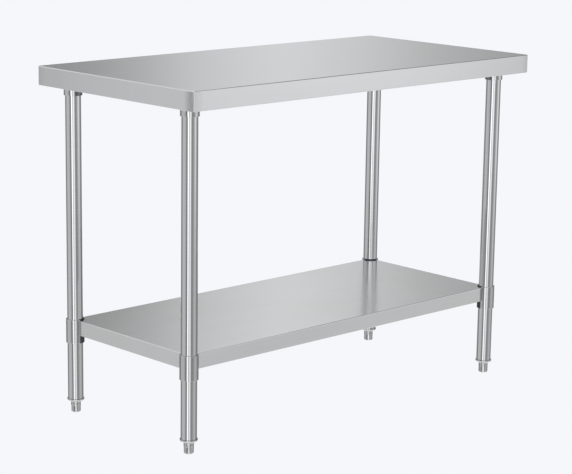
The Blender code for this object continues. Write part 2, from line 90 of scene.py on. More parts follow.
LEG_WALL = 1.2 * MM
LEG_RIM = 0.35 * MM
SLEEVE_GAP = 0.5 * MM
SLEEVE_WALL = 2.9 * MM
SLEEVE_EDGE = 0.6 * MM
SMALL_GAP = 0.3 * MM
SPLIT = 2.5 * MM
SPLIT_GAP = 0.3 * MM
BOSS_REACH = 11.0 * MM
BOSS_RADIUS = 8.0 * MM
BOSS_RIM = 0.8 * MM
PLATE = 3.0 * MM
PLATE_CORNER = 10.0 * MM
PLATE_RIM = 0.4 * MM
WELD_BEAD = 1.5 * MM
WELD_RIPPLES = 44
RIPPLE_STEPS = 4
RIPPLE_SWELL = 0.13

# a loop this far from each rounded rim keeps the shading of the wall beside it straight
SUPPORT = 0.6 * MM
LEAST_BEND = 0.3 * MM

SCREW_PITCH = 1.25 * MM
SCREW_THREAD_DEPTH = 0.6 * MM
SCREW_CHAMFER = 1.0 * MM
SCREW_HOLE_GAP = 0.35 * MM
HEX_KEY = 4.0 * MM
HEX_KEY_DEPTH = 5.0 * MM
KEY_LEAD_IN = 0.6 * MM
KEY_LEAD_IN_STEP = 0.2 * MM
CUP_MOUTH = 3.2 * MM
CUP_FLOOR = 0.6 * MM
STUD_PITCH = 2.0 * MM
STUD_THREAD_DEPTH = 1.0 * MM
STUD_CHAMFER = 1.2 * MM
FINE_PITCH = 1.0 * MM
FINE_THREAD_DEPTH = 0.5 * MM
FINE_CHAMFER = 0.4 * MM
NUT_CLEARANCE = 0.25 * MM
NUT_FLARE = 0.5 * MM
NUT_TWIST = 0.9
STUD_HOLE_GAP = 0.6 * MM
STUD_HOLE_REACH = 10.0 * MM

# a thread's wave: how steep its flanks are, and how much of it is cut off as the flat crest
THREAD_SLOPE = 1.6
THREAD_CREST = 0.3
THREAD_ROWS = 6

LIP_BAND = 1.8 * MM
NOSE_RADIUS = 13.5 * MM
PLUG_WALL = 2.5 * MM
HUB_WALL = 4.0 * MM
PLUG_FLOOR = 4.0 * MM
INSERT_RIM = 0.4 * MM
STUD_GAP = 0.6 * MM
STUD_SEAT = 12.2 * MM
FOOT_SHOULDER = 3.0 * MM
FOOT_NECK = 0.6 * MM
FOOT_ROUND = 4.5 * MM
FOOT_RIM = 0.5 * MM
FOOT_FLATS = 23.8 * MM
FOOT_HEX_TOP = 16.5 * MM
FOOT_HEX_RUN_OUT = 4.0 * MM

# roundness, in steps: full turns first, then the small bends and rims
WIDE_TURN = 96
SMALL_TURN = 48
SLEEVE_STEPS = 72
CLAMP_STEPS = 32
RIM_STEPS = 3
FOLD_STEPS = 6
BEND_STEPS = 4
PLATE_CORNER_STEPS = 8
DOME_STEPS = 16
FOOT_ROUND_STEPS = 10

# an edge that turns by more than this is shaded sharp
SMOOTH_ANGLE = math.radians(32)
THREAD_ANGLE = math.radians(50)
MERGE_DISTANCE = 1e-7

# half of a hexagon's side, as seen from its middle, and the slope of a nut's chamfer
HEX_HALF_SIDE = math.radians(30)
NUT_CHAMFER = math.radians(30)

CORNERS = ("front_left", "front_right", "back_right", "back_left")
STUD_SPOTS = ("cross_left_front", "cross_left_back", "cross_right_front", "cross_right_back",
              "centre_left", "centre_right")


def diameter_of(node):
    """A round node's diameter, read across its box."""
    low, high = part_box(node)
    return high.y - low.y


LEG_RADIUS = diameter_of("leg_front_left") / 2
STUD_RADIUS = diameter_of("foot_stud_front_left") / 2
WELD_STUD_RADIUS = diameter_of("weld_stud_centre_left") / 2
STUD_HOLE_RADIUS = WELD_STUD_RADIUS + STUD_HOLE_GAP
SCREW_RADIUS = diameter_of("socket_screw_front_left") / 2


# ---------------------------------------------------------------- mesh helpers

def mesh_from(bm, name, angle=SMOOTH_ANGLE):
    """A finished mesh: faces out, shaded smooth, sharp where it turns by more than the angle."""
    bmesh.ops.recalc_face_normals(bm, faces=bm.faces)
    mesh = bpy.data.meshes.new(name)
    bm.to_mesh(mesh)
    bm.free()
    mesh.shade_smooth()
    mesh.set_sharp_from_angle(angle=angle)
    return mesh


def tool_object(name, mesh):
    obj = bpy.data.objects.new(name, mesh)
    bpy.context.scene.collection.objects.link(obj)
    return obj


def combined(mesh, tools, operation, angle=SMOOTH_ANGLE):
    """The mesh after a Boolean with each tool mesh in turn; the tools are used up."""
    blank = tool_object("blank", mesh)
    helpers = [tool_object("tool", tool) for tool in tools]
    for helper in helpers:
        modifier = blank.modifiers.new("cut", "BOOLEAN")
        modifier.operation = operation
        modifier.object = helper
        modifier.solver = "EXACT"
    bpy.context.view_layer.update()
    graph = bpy.context.evaluated_depsgraph_get()
    result = bpy.data.meshes.new_from_object(blank.evaluated_get(graph), depsgraph=graph)
    for obj in (blank, *helpers):
        bpy.data.objects.remove(obj, do_unlink=True)
    result.materials.clear()
    result.shade_smooth()
    result.set_sharp_from_angle(angle=angle)
    return result


def moved(mesh, *transforms):
    """A copy of the mesh, taken through each transform in turn."""
    copy = mesh.copy()
    for transform in transforms:
        copy.transform(transform)
    return copy


def shift(x=0.0, y=0.0, z=0.0):
    return Matrix.Translation((x, y, z))


def turn_z(angle):
    return Matrix.Rotation(angle, 4, "Z")


LYING_ALONG_X = Matrix.Rotation(math.pi / 2, 4, "Y")


def join_rings(bm, rings):
    """Faces between neighbouring closed rings of vertices, each ring being the same length."""
    count = len(rings[0])
    for lower, upper in zip(rings, rings[1:]):
        for i in range(count):
            j = (i + 1) % count
            bm.faces.new((lower[i], lower[j], upper[j], upper[i]))


def turned(name, profile, steps=WIDE_TURN):
    """A closed outline of (radius, height) points turned about Z; points on the axis close it."""
    bm = bmesh.new()
    rings = []
    for i in range(steps):
        angle = 2 * math.pi * i / steps
        rings.append([bm.verts.new((r * math.cos(angle), r * math.sin(angle), z)) for r, z in profile])
    rings.append(rings[0])
    count = len(profile)
    for here, there in zip(rings, rings[1:]):
        for i in range(count):
            j = (i + 1) % count
            if profile[i][0] > 0 or profile[j][0] > 0:
                bm.faces.new((here[i], here[j], there[j], there[i]))
    bmesh.ops.remove_doubles(bm, verts=bm.verts, dist=MERGE_DISTANCE)
    return mesh_from(bm, name)


def arc_points(centre, radius, start, end, steps):
    """Points on a round corner, with angles in degrees, for an outline of (radius, height)."""
    points = []
    for i in range(steps + 1):
        angle = math.radians(start + (end - start) * i / steps)
        points.append((centre[0] + radius * math.cos(angle), centre[1] + radius * math.sin(angle)))
    return points


def tube_outline(inner, outer, bottom, top, edge):
    """A tube's wall, with its four rims rounded and a loop beside each."""
    return [
        (outer, top - edge - SUPPORT),
        *arc_points((outer - edge, top - edge), edge, 0, 90, RIM_STEPS),
        *arc_points((inner + edge, top - edge), edge, 90, 180, RIM_STEPS),
        (inner, top - edge - SUPPORT),
        (inner, bottom + edge + SUPPORT),
        *arc_points((inner + edge, bottom + edge), edge, 180, 270, RIM_STEPS),
        *arc_points((outer - edge, bottom + edge), edge, 270, 360, RIM_STEPS),
        (outer, bottom + edge + SUPPORT),
    ]


def part_turned(name, outline, middle, half_sweep, steps):
    """A closed outline swept part of the way round Z, with flat ends."""
    bm = bmesh.new()
    rings = []
    for i in range(steps + 1):
        angle = middle - half_sweep + 2 * half_sweep * i / steps
        rings.append([bm.verts.new((r * math.cos(angle), r * math.sin(angle), z)) for r, z in outline])
    join_rings(bm, rings)
    bm.faces.new(rings[0])
    bm.faces.new(rings[-1])
    return mesh_from(bm, name)


def prism(name, points, bottom, top):
    """An upright prism on a flat outline."""
    bm = bmesh.new()
    base = [bm.verts.new((x, y, bottom)) for x, y in points]
    roof = [bm.verts.new((x, y, top)) for x, y in points]
    join_rings(bm, [base, roof])
    bm.faces.new(base)
    bm.faces.new(roof)
    return mesh_from(bm, name)


def polygon(sides, across_flats):
    """A regular polygon's corners, the first of them on +X."""
    radius = across_flats / 2 / math.cos(math.pi / sides)
    angles = [2 * math.pi * i / sides for i in range(sides)]
    return [(radius * math.cos(a), radius * math.sin(a)) for a in angles]


def threaded(name, radius, bottom, top, pitch, depth, chamfer, steps):
    """A shaft with a real helical thread: the radius follows a wave that climbs as it turns."""
    bm = bmesh.new()
    rows = round((top - bottom) / pitch * THREAD_ROWS)
    rings = []
    for row in range(rows + 1):
        height = bottom + (top - bottom) * row / rows
        limit = radius - max(0.0, chamfer - (height - bottom), chamfer - (top - height))
        ring = []
        for i in range(steps):
            turn = i / steps
            phase = (height / pitch - turn) % 1.0
            wave = min(1.0, max(0.0, THREAD_SLOPE * abs(2 * phase - 1) - THREAD_CREST))
            r = min(radius - depth * wave, limit)
            angle = 2 * math.pi * turn
            ring.append(bm.verts.new((r * math.cos(angle), r * math.sin(angle), height)))
        rings.append(ring)
    join_rings(bm, rings)
    bm.faces.new(rings[0])
    bm.faces.new(rings[-1])
    return mesh_from(bm, name, THREAD_ANGLE)


# ---------------------------------------------------------------- sheet helpers

def corner_columns(half_x, half_y, inset, radius, steps):
    """Points round a rectangle with rounded corners, its sides moved in by the inset."""
    left_over = max(radius - inset, 0.0)
    corner_x = half_x - inset - left_over
    corner_y = half_y - inset - left_over
    points = []
    for quarter, (side_x, side_y) in enumerate(((1, 1), (-1, 1), (-1, -1), (1, -1))):
        for i in range(steps + 1):
            angle = math.pi / 2 * (quarter + i / steps)
            points.append((side_x * corner_x + left_over * math.cos(angle),
                           side_y * corner_y + left_over * math.sin(angle)))
    return points


def seamed_columns(half_x, half_y, inset, radius, depth):
    """The same rectangle, with a groove of the given depth down the middle of each round corner."""
    left_over = max(radius - inset, 0.0)
    corner_x = half_x - inset - left_over
    corner_y = half_y - inset - left_over
    seam = SEAM_WIDTH / 2 / radius
    quarter_turn = math.pi / 2
    sweep = (0.0, 0.1, 0.2, 0.3, 0.4, 0.5 - seam / quarter_turn, 0.5,
             0.5 + seam / quarter_turn, 0.6, 0.7, 0.8, 0.9, 1.0)
    points = []
    for quarter, (side_x, side_y) in enumerate(((1, 1), (-1, 1), (-1, -1), (1, -1))):
        for share in sweep:
            angle = quarter_turn * (quarter + share)
            out = left_over - depth if share == 0.5 else left_over
            points.append((side_x * corner_x + out * math.cos(angle),
                           side_y * corner_y + out * math.sin(angle)))
    return points


def rounded_plate(name, half, corner, bottom, top, rim):
    """A square plate with round corners, its two rims rounded and a loop beside each."""
    section = (
        (rim + SUPPORT, bottom),
        *arc_points((rim, bottom + rim), rim, 270, 180, RIM_STEPS),
        (0.0, bottom + rim + SUPPORT),
        (0.0, top - rim - SUPPORT),
        *arc_points((rim, top - rim), rim, 180, 90, RIM_STEPS),
        (rim + SUPPORT, top),
    )
    bm = bmesh.new()
    rings = []
    for inset, height in section:
        around = corner_columns(half, half, inset, corner, PLATE_CORNER_STEPS)
        rings.append([bm.verts.new((x, y, height)) for x, y in around])
    join_rings(bm, rings)
    bm.faces.new(rings[0])
    bm.faces.new(rings[-1])
    return mesh_from(bm, name)


def pan_section(height, sheet, lip, fold, lower_fold):
    """The folded sheet's section as (inset, height) points, from the top face round to its underside."""
    inner_fold = fold - sheet
    inner_lower = max(lower_fold - sheet, LEAST_BEND)
    section = [(fold + SUPPORT, 0.0)]
    for i in range(FOLD_STEPS + 1):
        angle = math.pi / 2 * i / FOLD_STEPS
        section.append((fold - fold * math.sin(angle), -fold + fold * math.cos(angle)))
    section.append((0.0, -fold - SUPPORT))
    section.append((0.0, -height + lower_fold + SUPPORT))
    for i in range(FOLD_STEPS + 1):
        angle = math.pi / 2 * i / FOLD_STEPS
        section.append((lower_fold - lower_fold * math.cos(angle),
                        -height + lower_fold - lower_fold * math.sin(angle)))
    section.append((lower_fold + SUPPORT, -height))
    section.append((lip, -height))
    section.append((lip, -height + sheet))
    section.append((sheet + inner_lower + SUPPORT, -height + sheet))
    for i in range(FOLD_STEPS + 1):
        angle = math.pi / 2 * (1 - i / FOLD_STEPS)
        section.append((sheet + inner_lower - inner_lower * math.cos(angle),
                        -height + sheet + inner_lower - inner_lower * math.sin(angle)))
    section.append((sheet, -height + sheet + inner_lower + SUPPORT))
    section.append((sheet, -fold - SUPPORT))
    for i in range(FOLD_STEPS + 1):
        angle = math.pi / 2 * (1 - i / FOLD_STEPS)
        section.append((fold - inner_fold * math.sin(angle), -fold + inner_fold * math.cos(angle)))
    section.append((fold + SUPPORT, -sheet))
    return section


def folded_pan(name, low, high, sheet, lip, fold, corner):
    """A sheet folded down on four sides with its lips turned in, as one closed body."""
    half_x = (high.x - low.x) / 2
    half_y = (high.y - low.y) / 2
    bm = bmesh.new()
    rings = []
    for inset, height in pan_section(high.z - low.z, sheet, lip, fold, LOWER_FOLD):
        if corner:
            on_outer_wall = inset == 0.0 and height < -fold
            around = seamed_columns(half_x, half_y, inset, corner, SEAM_DEPTH if on_outer_wall else 0.0)
        else:
            around = corner_columns(half_x, half_y, inset, 0.0, 1)
        rings.append([bm.verts.new((x, y, height)) for x, y in around])
    join_rings(bm, rings)
    bm.faces.new(rings[0])
    bm.faces.new(rings[-1])
    bmesh.ops.remove_doubles(bm, verts=bm.verts, dist=MERGE_DISTANCE)
    bmesh.ops.translate(bm, verts=bm.verts, vec=((low.x + high.x) / 2, (low.y + high.y) / 2, high.z))
    return mesh_from(bm, name)


def hat_outline(half_width, depth):
    """A hat channel's section as (across, height) points: crown down, bends rounded."""
    middle = [
        (-half_width, 0.0),
        (-CHANNEL_CROWN / 2 - CHANNEL_SLOPE, 0.0),
        (-CHANNEL_CROWN / 2, -depth + CHANNEL_SHEET),
        (CHANNEL_CROWN / 2, -depth + CHANNEL_SHEET),
        (CHANNEL_CROWN / 2 + CHANNEL_SLOPE, 0.0),
        (half_width, 0.0),
    ]
    return [Vector((x, z)) for x, z in middle]


def bent(points, bend):
    """The line with each inner point replaced by a round bend."""
    out = [points[0]]
    for before, here, after in zip(points, points[1:], points[2:]):
        start = here + (before - here).normalized() * bend
        end = here + (after - here).normalized() * bend
        for i in range(BEND_STEPS + 1):
            t = i / BEND_STEPS
            out.append(start * (1 - t) ** 2 + here * 2 * t * (1 - t) + end * t ** 2)
    out.append(points[-1])
    return out


def channel(name, low, high, along_y):
    """A hat channel that fills its box: flanges up, open ends, the same sheet all over."""
    length = high.y - low.y if along_y else high.x - low.x
    width = high.x - low.x if along_y else high.y - low.y
    upper = bent(hat_outline(width / 2, high.z - low.z), CHANNEL_BEND)
    lower = []
    for i, point in enumerate(upper):
        before = upper[max(i - 1, 0)]
        after = upper[min(i + 1, len(upper) - 1)]
        along = (after - before).normalized()
        lower.append(point + Vector((along.y, -along.x)) * CHANNEL_SHEET)
    outline = upper + lower[::-1]
    bm = bmesh.new()
    rings = []
    for end in (-length / 2, length / 2):
        if along_y:
            rings.append([bm.verts.new((p.x, end, p.y)) for p in outline])
        else:
            rings.append([bm.verts.new((end, p.x, p.y)) for p in outline])
    join_rings(bm, rings)
    count = len(upper)
    for ring in rings:
        for i in range(count - 1):
            bm.faces.new((ring[i], ring[i + 1], ring[-i - 2], ring[-i - 1]))
    bmesh.ops.translate(bm, verts=bm.verts, vec=((low.x + high.x) / 2, (low.y + high.y) / 2, high.z))
    return mesh_from(bm, name)


# ---------------------------------------------------------------- material helpers

NOISE_ROUGHNESS = 0.55

# Noise that is drawn out, as its scale along each axis: the brushed sheets' along, across and
# through the sheet, the others' along X, Y and Z.
HAIRLINE_GRAIN = (7, 1500, 1)
STREAK_GRAIN = (2.2, 260, 1)
BROAD_GRAIN = (0.9, 26, 1)
TUBE_GRAIN = (900, 900, 5)
WHEEL_RINGS = (12, 12, 420)
LATHE_MARKS = (40, 40, 1600)

# even noise and cells, as their number in a metre
SHEET_CLOUDS = 3.5
GRIND_EDGE = 90.0
TUBE_SMUDGES = 14.0
ZINC_CLOUDS = 40.0
ZINC_CRYSTALS = 95.0
PLATED_PATCHES = 60.0
CAST_GRIT = 1400.0
CAST_PATCHES = 70.0

# how deep each finish's relief is
SHEET_WAVES = 0.35 * MM
TUBE_RELIEF = 0.004 * MM
ZINC_RELIEF = 0.02 * MM
PLATED_RELIEF = 0.01 * MM
CAST_RELIEF = 0.05 * MM

# how much of the brushed tone is hairline and streak, and what the broad bands add
HAIRLINE_SHARE = 0.35
STREAK_SHARE = 0.65
BROAD_SHARE = 0.35

class Shader:
    """A material's node tree with short calls for the nodes that the finishes use."""

    def __init__(self, name):
        self.material = bpy.data.materials.new(name)
        self.material.use_nodes = True
        self.tree = self.material.node_tree
        self.bsdf = self.tree.nodes["Principled BSDF"]
        self.bsdf.inputs["Metallic"].default_value = 1.0
        self.coords = self.tree.nodes.new("ShaderNodeTexCoord")
        self.geometry = self.tree.nodes.new("ShaderNodeNewGeometry")

    def link(self, source, target):
        self.tree.links.new(source, target)

    def set_or_link(self, socket, value):
        if isinstance(value, bpy.types.NodeSocket):
            self.link(value, socket)
        else:
            socket.default_value = value

    def math(self, operation, a, b=0.0, c=0.0):
        node = self.tree.nodes.new("ShaderNodeMath")
        node.operation = operation
        for socket, value in zip(node.inputs, (a, b, c)):
            self.set_or_link(socket, value)
        return node.outputs[0]

    def split(self, vector):
        node = self.tree.nodes.new("ShaderNodeSeparateXYZ")
        self.link(vector, node.inputs[0])
        return node.outputs[0], node.outputs[1], node.outputs[2]

    def vector(self, x, y, z):
        node = self.tree.nodes.new("ShaderNodeCombineXYZ")
        for socket, value in zip(node.inputs, (x, y, z)):
            self.set_or_link(socket, value)
        return node.outputs[0]

    def stretched(self, vector, scale):
        node = self.tree.nodes.new("ShaderNodeMapping")
        node.inputs["Scale"].default_value = scale
        self.link(vector, node.inputs["Vector"])
        return node.outputs[0]

    def noise(self, vector, detail, scale=1.0):
        node = self.tree.nodes.new("ShaderNodeTexNoise")
        node.inputs["Scale"].default_value = scale
        node.inputs["Detail"].default_value = detail
        node.inputs["Roughness"].default_value = NOISE_ROUGHNESS
        self.link(vector, node.inputs["Vector"])
        return node.outputs["Fac"]

    def cells(self, vector, scale, feature="F1", output="Color"):
        node = self.tree.nodes.new("ShaderNodeTexVoronoi")
        node.feature = feature
        node.inputs["Scale"].default_value = scale
        self.link(vector, node.inputs["Vector"])
        return node.outputs[output]

    def remap(self, value, low, high, new_low, new_high, smooth=False):
        node = self.tree.nodes.new("ShaderNodeMapRange")
        node.interpolation_type = "SMOOTHSTEP" if smooth else "LINEAR"
        self.link(value, node.inputs["Value"])
        node.inputs["From Min"].default_value = low
        node.inputs["From Max"].default_value = high
        node.inputs["To Min"].default_value = new_low
        node.inputs["To Max"].default_value = new_high
        return node.outputs[0]

    def blend(self, factor, first, second):
        node = self.tree.nodes.new("ShaderNodeMix")
        node.data_type = "RGBA"
        self.set_or_link(node.inputs["Factor"], factor)
        for socket, value in ((node.inputs[6], first), (node.inputs[7], second)):
            self.set_or_link(socket, value if isinstance(value, bpy.types.NodeSocket) else (*value, 1.0))
        return node.outputs[2]

    def bump(self, height, distance, normal=None):
        node = self.tree.nodes.new("ShaderNodeBump")
        node.inputs["Distance"].default_value = distance
        self.link(height, node.inputs["Height"])
        if normal:
            self.link(normal, node.inputs["Normal"])
        return node.outputs[0]

    def finish(self, colour, roughness, normal):
        self.link(colour, self.bsdf.inputs["Base Color"])
        self.link(roughness, self.bsdf.inputs["Roughness"])
        self.link(normal, self.bsdf.inputs["Normal"])
        return self.material


def shade(colour, factor):
    return tuple(c * factor for c in colour)


def brushed_sheet(name, node, colour, roughness, anisotropy, grain_depth, tint):
    """Stainless sheet brushed lengthwise before it was folded, so the grain runs down the end folds.

    The welded corners are ground by hand, which leaves them duller; on each ground corner the end side is
    painted darker as shade and the long side painted lighter as a highlight."""
    low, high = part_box(node)
    s = Shader(name)
    x, y, z = s.split(s.coords.outputs["Object"])
    nx, ny, _ = s.split(s.geometry.outputs["True Normal"])
    facing_x = s.math("ABSOLUTE", nx)
    facing_y = s.math("ABSOLUTE", ny)
    along = s.math("MULTIPLY_ADD", z, facing_x, x)
    across = s.math("MULTIPLY_ADD", z, facing_y, y)
    unrolled = s.vector(along, across, 0.0)
    hairline = s.noise(s.stretched(unrolled, HAIRLINE_GRAIN), detail=2.0)
    streak = s.noise(s.stretched(unrolled, STREAK_GRAIN), detail=3.0)
    broad = s.noise(s.stretched(unrolled, BROAD_GRAIN), detail=2.0)
    cloud = s.noise(unrolled, detail=2.0, scale=SHEET_CLOUDS)
    lines = s.math("ADD", s.math("MULTIPLY", hairline, HAIRLINE_SHARE),
                   s.math("MULTIPLY", streak, STREAK_SHARE))
    tone = s.math("MULTIPLY_ADD", s.math("SUBTRACT", broad, 0.5), BROAD_SHARE, lines)
    base = s.blend(s.remap(tone, 0.3, 0.7, 0.0, 1.0), shade(colour, 0.972), shade(colour, 1.026))
    base = s.blend(s.remap(cloud, 0.40, 0.75, 0.0, 0.35, smooth=True), base, tint)
    grind_edge = s.noise(unrolled, detail=2.0, scale=GRIND_EDGE)
    ragged = s.math("MULTIPLY", s.math("SUBTRACT", grind_edge, 0.5), GRIND_RAGGED)
    end_x = s.math("SUBTRACT", high.x, s.math("ABSOLUTE", x))
    end_y = s.math("SUBTRACT", high.y, s.math("ABSOLUTE", y))
    from_corner = s.math("ADD", s.math("MAXIMUM", end_x, end_y), ragged)
    drop = s.remap(z, high.z - GRIND_TOP, high.z - 2 * GRIND_TOP, 0.0, 1.0, smooth=True)
    ground_and_painted_light = s.math("MULTIPLY", s.remap(from_corner, GRIND_REACH, GRIND_CORE, 0.0, 1.0, smooth=True), drop)
    ground_and_painted_light = s.math("MULTIPLY", ground_and_painted_light, s.remap(y, low.y, high.y, 1.0, GRIND_AT_BACK))
    # painted light: the end side of each ground corner is painted darker as shade and the long side painted
    # lighter as a highlight
    end_side_painted_shade_mask = s.remap(s.math("SUBTRACT", end_y, end_x), -SEAM_WIDTH, SEAM_WIDTH, 0.0, 1.0)
    patch = s.blend(end_side_painted_shade_mask, shade(colour, GRIND_LONG_SIDE_PAINTED_HIGHLIGHT), shade(colour, GRIND_END_SIDE_PAINTED_SHADE))
    seam = s.remap(s.math("ABSOLUTE", s.math("SUBTRACT", end_x, end_y)), SEAM_WIDTH, SEAM_WIDTH / 3, 0.0, 1.0)
    patch = s.blend(seam, patch, shade(colour, SEAM_SHADE))
    base = s.blend(ground_and_painted_light, base, patch)
    rough = s.remap(lines, 0.25, 0.75, roughness * 0.86, roughness * 1.16)
    rough = s.math("MULTIPLY_ADD", ground_and_painted_light, GRIND_ROUGHNESS - roughness, rough)
    waves = s.bump(cloud, SHEET_WAVES)
    normal = s.bump(lines, grain_depth, waves)
    s.bsdf.inputs["Anisotropic"].default_value = anisotropy
    upright = s.math("SUBTRACT", 1.0, facing_y)
    s.link(s.vector(0.0, upright, facing_y), s.bsdf.inputs["Tangent"])
    return s.finish(base, rough, normal)


def polished_tube(name, colour, roughness, inward_shade=None):
    """Round stainless tube: a fine lengthwise grain under faint rings from the polishing wheel.

    With an inward shade colour given, the half that faces the middle of the table is painted darker as shade
    and made rougher."""
    s = Shader(name)
    place = s.coords.outputs["Object"]
    grain = s.noise(s.stretched(place, TUBE_GRAIN), detail=2.0)
    rings = s.noise(s.stretched(place, WHEEL_RINGS), detail=3.0)
    smudge = s.noise(place, detail=3.0, scale=TUBE_SMUDGES)
    tone = s.math("MULTIPLY_ADD", rings, 0.4, s.math("MULTIPLY", grain, 0.6))
    base = s.blend(s.remap(tone, 0.35, 0.65, 0.0, 1.0), shade(colour, 0.94), shade(colour, 1.04))
    rough = s.math("ADD", s.remap(rings, 0.3, 0.7, roughness * 0.9, roughness * 1.12),
                   s.remap(smudge, 0.45, 0.75, 0.0, 0.03))
    # painted shade: the half of the socket that faces the middle of the table, under the worktop, is darkened
    if inward_shade:
        x, y, _ = s.split(place)
        nx, ny, _ = s.split(s.geometry.outputs["Normal"])
        outward = s.math("MULTIPLY_ADD", s.math("SIGN", x), nx, s.math("MULTIPLY", s.math("SIGN", y), ny))
        inward_shade_mask = s.remap(outward, INWARD_SHADE_FROM, INWARD_SHADE_FULL, 0.0, 1.0, smooth=True)
        base = s.blend(inward_shade_mask, base, inward_shade)
        rough = s.math("MULTIPLY_ADD", inward_shade_mask, INWARD_ROUGHNESS - roughness, rough)
    normal = s.bump(tone, TUBE_RELIEF)
    return s.finish(base, rough, normal)


def galvanised(name, colour):
    """Hot-dip zinc: flat crystals that each catch the light a little differently."""
    s = Shader(name)
    place = s.coords.outputs["Object"]
    warped = s.noise(place, detail=2.0, scale=ZINC_CLOUDS)
    crystal = s.cells(place, ZINC_CRYSTALS)
    level, _, _ = s.split(crystal)
    border = s.cells(place, ZINC_CRYSTALS, "DISTANCE_TO_EDGE", "Distance")
    base = s.blend(s.remap(level, 0.0, 1.0, 0.0, 1.0), shade(colour, 0.84), shade(colour, 1.1))
    base = s.blend(s.remap(border, 0.0, 0.06, 0.35, 0.0), base, shade(colour, 0.7))
    rough = s.math("ADD", s.remap(level, 0.0, 1.0, 0.34, 0.5), s.remap(warped, 0.4, 0.7, 0.0, 0.08))
    normal = s.bump(level, ZINC_RELIEF)
    return s.finish(base, rough, normal)


def plated(name, colour, roughness):
    """Plated or machined steel: smooth, with faint lathe marks and darker patches."""
    s = Shader(name)
    place = s.coords.outputs["Object"]
    marks = s.noise(s.stretched(place, LATHE_MARKS), detail=2.0)
    patch = s.noise(place, detail=4.0, scale=PLATED_PATCHES)
    base = s.blend(s.remap(patch, 0.4, 0.7, 0.0, 1.0, smooth=True), shade(colour, 1.02), shade(colour, 0.92))
    rough = s.math("ADD", s.remap(marks, 0.3, 0.7, roughness * 0.9, roughness * 1.1),
                   s.remap(patch, 0.4, 0.7, 0.0, 0.08))
    normal = s.bump(marks, PLATED_RELIEF)
    return s.finish(base, rough, normal)


def casting(name, colour):
    """Dark die casting: a fine grainy skin, worn lighter on its edges."""
    s = Shader(name)
    place = s.coords.outputs["Object"]
    grit = s.noise(place, detail=3.0, scale=CAST_GRIT)
    patch = s.noise(place, detail=3.0, scale=CAST_PATCHES)
    edge = s.remap(s.geometry.outputs["Pointiness"], 0.52, 0.6, 0.0, 0.6, smooth=True)
    base = s.blend(s.remap(patch, 0.35, 0.7, 0.0, 1.0), shade(colour, 0.8), shade(colour, 1.35))
    base = s.blend(edge, base, shade(colour, 3.0))
    rough = s.remap(patch, 0.3, 0.7, 0.42, 0.58)
    normal = s.bump(grit, CAST_RELIEF)
    return s.finish(base, rough, normal)


# ---------------------------------------------------------------- finishes

TOP_STEEL = brushed_sheet(
    "brushed_top_sheet", "worktop", colour=(0.68, 0.683, 0.69), roughness=0.23, anisotropy=0.55,
    grain_depth=0.010 * MM, tint=(0.67, 0.666, 0.655))
SHELF_STEEL = brushed_sheet(
    "satin_shelf_sheet", "undershelf", colour=(0.67, 0.672, 0.676), roughness=0.16, anisotropy=0.50,
    grain_depth=0.005 * MM, tint=(0.63, 0.623, 0.608))
TUBE_STEEL = polished_tube("polished_tube", colour=(0.60, 0.602, 0.606), roughness=0.06)
SLEEVE_STEEL = polished_tube("polished_sleeve", colour=(0.56, 0.562, 0.565), roughness=0.08)
ZINC_SHEET = galvanised("galvanised_steel", (0.50, 0.51, 0.52))
# the sockets' inward half is painted dark as shade
SOCKET_STEEL = polished_tube(
    "socket_with_painted_shade", colour=(0.56, 0.562, 0.565), roughness=0.08, inward_shade=(0.20, 0.202, 0.206))
FOOT_STEEL = plated("plated_foot", colour=(0.52, 0.522, 0.525), roughness=0.11)
FASTENER = plated("zinc_fastener", colour=(0.52, 0.52, 0.50), roughness=0.28)
DARK_CASTING = casting("dark_casting", (0.07, 0.07, 0.075))


# ---------------------------------------------------------------- pieces

def piece(node, mesh, material, body):
    """One visible piece in place of one node of the frame."""
    mesh.materials.clear()
    mesh.materials.append(material)
    obj = bpy.data.objects.new(f"{node}.fine", mesh)
    bpy.context.scene.collection.objects.link(obj)
    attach(obj, body)
    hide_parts(node)
    return obj


def axis_of(node):
    """The middle of a node's box, seen from above."""
    low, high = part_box(node)
    return (low.x + high.x) / 2, (low.y + high.y) / 2


def side_of(value):
    return -1 if value < 0 else 1


def make_worktop():
    low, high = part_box("worktop")
    mesh = folded_pan("worktop", low, high, TOP_SHEET, TOP_LIP, TOP_FOLD, TOP_CORNER)
    piece("worktop", mesh, TOP_STEEL, "table_frame")


def make_undershelf():
    low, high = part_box("undershelf")
    pan = folded_pan("undershelf", low, high, SHELF_SHEET, SHELF_LIP, SHELF_FOLD, 0.0)
    notch_radius = LEG_RADIUS + SLEEVE_GAP + SLEEVE_WALL + SMALL_GAP
    reach = 2 * (high.z - low.z)
    notch = turned("notch", ((0, -reach), (notch_radius, -reach), (notch_radius, reach), (0, reach)))
    tools = []
    for corner in CORNERS:
        x, y = axis_of(f"leg_{corner}")
        tools.append(moved(notch, shift(x, y, low.z)))
    mesh = combined(pan, tools, "DIFFERENCE")
    piece("undershelf", mesh, SHELF_STEEL, "undershelf")


def make_channels():
    for node, along_y, body in (
        ("cross_channel_left", True, "table_frame"),
        ("cross_channel_right", True, "table_frame"),
        ("centre_channel", False, "table_frame"),
        ("undershelf_channel", False, "undershelf"),
    ):
        low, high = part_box(node)
        mesh = channel(node, low, high, along_y)
        holes = []
        for spot in STUD_SPOTS:
            x, y = axis_of(f"weld_stud_{spot}")
            if body == "table_frame" and low.x < x < high.x and low.y < y < high.y:
                bore = STUD_HOLE_RADIUS
                reach = STUD_HOLE_REACH
                hole = turned("hole", ((0, -reach), (bore, -reach), (bore, reach), (0, reach)), SMALL_TURN)
                holes.append(moved(hole, shift(x, y, high.z)))
        if holes:
            mesh = combined(mesh, holes, "DIFFERENCE")
        piece(node, mesh, ZINC_SHEET, body)


